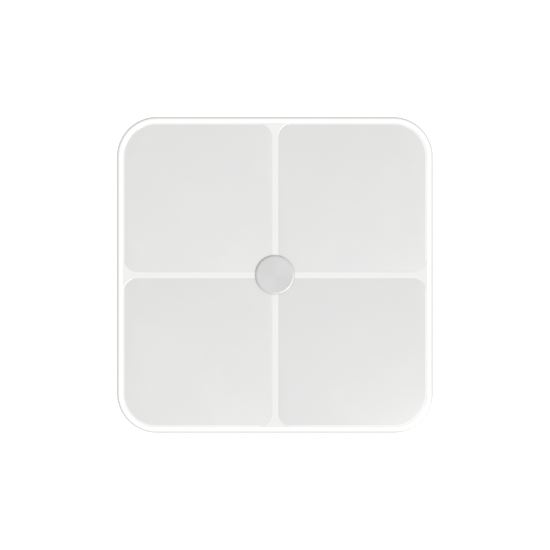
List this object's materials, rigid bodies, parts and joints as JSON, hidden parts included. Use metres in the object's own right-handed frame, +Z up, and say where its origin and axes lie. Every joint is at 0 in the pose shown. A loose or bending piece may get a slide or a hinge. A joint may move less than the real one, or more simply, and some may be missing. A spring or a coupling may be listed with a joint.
{
  "type": "bathroom scale",
  "caption": "Square digital bathroom scale: glass platform with touch electrodes and a round centre cap, on a shallow tray with sprung feet.",
  "frame": {"origin": "on the floor, under the middle of the platform", "axes": "+Z up, +Y to the rear, where the display lies under the glass, and +X to the right"},
  "size_m": [0.3, 0.3, 0.027],
  "materials": {
    "platform_glass": "white back-painted toughened glass, polished; the paint makes it opaque",
    "electrode_film": "satin conductive coating on glass, pale grey",
    "cap_metal": "satin anodised, light grey",
    "shell_plastic": "white ABS, fine spark texture",
    "foot_plastic": "white ABS, fine texture",
    "inner_plastic": "white ABS, smooth",
    "foot_rubber": "grey non-slip rubber",
    "steel": "zinc-plated steel",
    "plated_contact": "nickel-plated spring steel",
    "gauge_film": "strain gauge under a pale sealant",
    "cable_jacket": "soft PVC jacket",
    "lead_red": "red PVC jacket",
    "lead_black": "black PVC jacket",
    "battery_wrap": "shrink wrap over a steel can",
    "board_laminate": "glass-fibre laminate with green solder mask",
    "chip_plastic": "black moulding compound",
    "foam_tape": "white double-sided foam tape",
    "display_film": "white diffuser film",
    "label_film": "blank silver polyester label"
  },
  "bodies": {
    "base": {"base_tray": "shell_plastic", "battery_1": "battery_wrap", "battery_2": "battery_wrap", "battery_3": "battery_wrap", "battery_bridge_left": "plated_contact", "battery_bridge_right": "plated_contact", "battery_contact_minus": "plated_contact", "battery_contact_plus": "plated_contact", "battery_lead_minus": "lead_black", "battery_lead_plus": "lead_red", "board_screw_front_left": "steel", "board_screw_front_right": "steel", "board_screw_rear_left": "steel", "board_screw_rear_right": "steel", "cap_screw": "steel", "cell_cable_front_left": "cable_jacket", "cell_cable_front_right": "cable_jacket", "cell_cable_rear_left": "cable_jacket", "cell_cable_rear_right": "cable_jacket", "cell_clamp_front_left": "inner_plastic", "cell_clamp_front_right": "inner_plastic", "cell_clamp_rear_left": "inner_plastic", "cell_clamp_rear_right": "inner_plastic", "centre_cap": "cap_metal", "centre_hub": "inner_plastic", "controller_chip": "chip_plastic", "display_diffuser": "display_film", "display_frame": "inner_plastic", "electrode_contact_front_left": "plated_contact", "electrode_contact_front_right": "plated_contact", "electrode_contact_rear_left": "plated_contact", "electrode_contact_rear_right": "plated_contact", "electrode_front_left": "electrode_film", "electrode_front_right": "electrode_film", "electrode_rear_left": "electrode_film", "electrode_rear_right": "electrode_film", "glass_platform": "platform_glass", "load_cell_front_left": "steel", "load_cell_front_right": "steel", "load_cell_rear_left": "steel", "load_cell_rear_right": "steel", "main_board": "board_laminate", "platform_tape": "foam_tape", "radio_module": "board_laminate", "rating_label": "label_film", "strain_gauge_front_left": "gauge_film", "strain_gauge_front_right": "gauge_film", "strain_gauge_rear_left": "gauge_film", "strain_gauge_rear_right": "gauge_film", "unit_switch": "chip_plastic"},
    "foot_front_left": {"foot_cap_front_left": "foot_plastic", "foot_pad_front_left": "foot_rubber"},
    "foot_front_right": {"foot_cap_front_right": "foot_plastic", "foot_pad_front_right": "foot_rubber"},
    "foot_rear_left": {"foot_cap_rear_left": "foot_plastic", "foot_pad_rear_left": "foot_rubber"},
    "foot_rear_right": {"foot_cap_rear_right": "foot_plastic", "foot_pad_rear_right": "foot_rubber"},
    "battery_door": {"battery_door": "shell_plastic"},
    "unit_button": {"unit_button": "shell_plastic"}
  },
  "joints": [
    {"name": "foot_press_front_left", "type": "slide", "parent": "base", "child": "foot_front_left", "axis": [0, 0, 1], "range_m": [0, 0.0005], "stiffness_N_per_m": 600, "springref_m": -0.007},
    {"name": "foot_press_front_right", "type": "slide", "parent": "base", "child": "foot_front_right", "axis": [0, 0, 1], "range_m": [0, 0.0005], "stiffness_N_per_m": 600, "springref_m": -0.007},
    {"name": "foot_press_rear_left", "type": "slide", "parent": "base", "child": "foot_rear_left", "axis": [0, 0, 1], "range_m": [0, 0.0005], "stiffness_N_per_m": 600, "springref_m": -0.007},
    {"name": "foot_press_rear_right", "type": "slide", "parent": "base", "child": "foot_rear_right", "axis": [0, 0, 1], "range_m": [0, 0.0005], "stiffness_N_per_m": 600, "springref_m": -0.007},
    {"name": "battery_door_hinge", "type": "hinge", "parent": "base", "child": "battery_door", "pos_m": [0, -0.04265, 0.004], "axis": [1, 0, 0], "range_deg": [0, 75]},
    {"name": "unit_button_press", "type": "slide", "parent": "base", "child": "unit_button", "axis": [0, 0, 1], "range_m": [0, 0.0006], "stiffness_N_per_m": 1500, "springref_m": -0.0003}
  ]
}
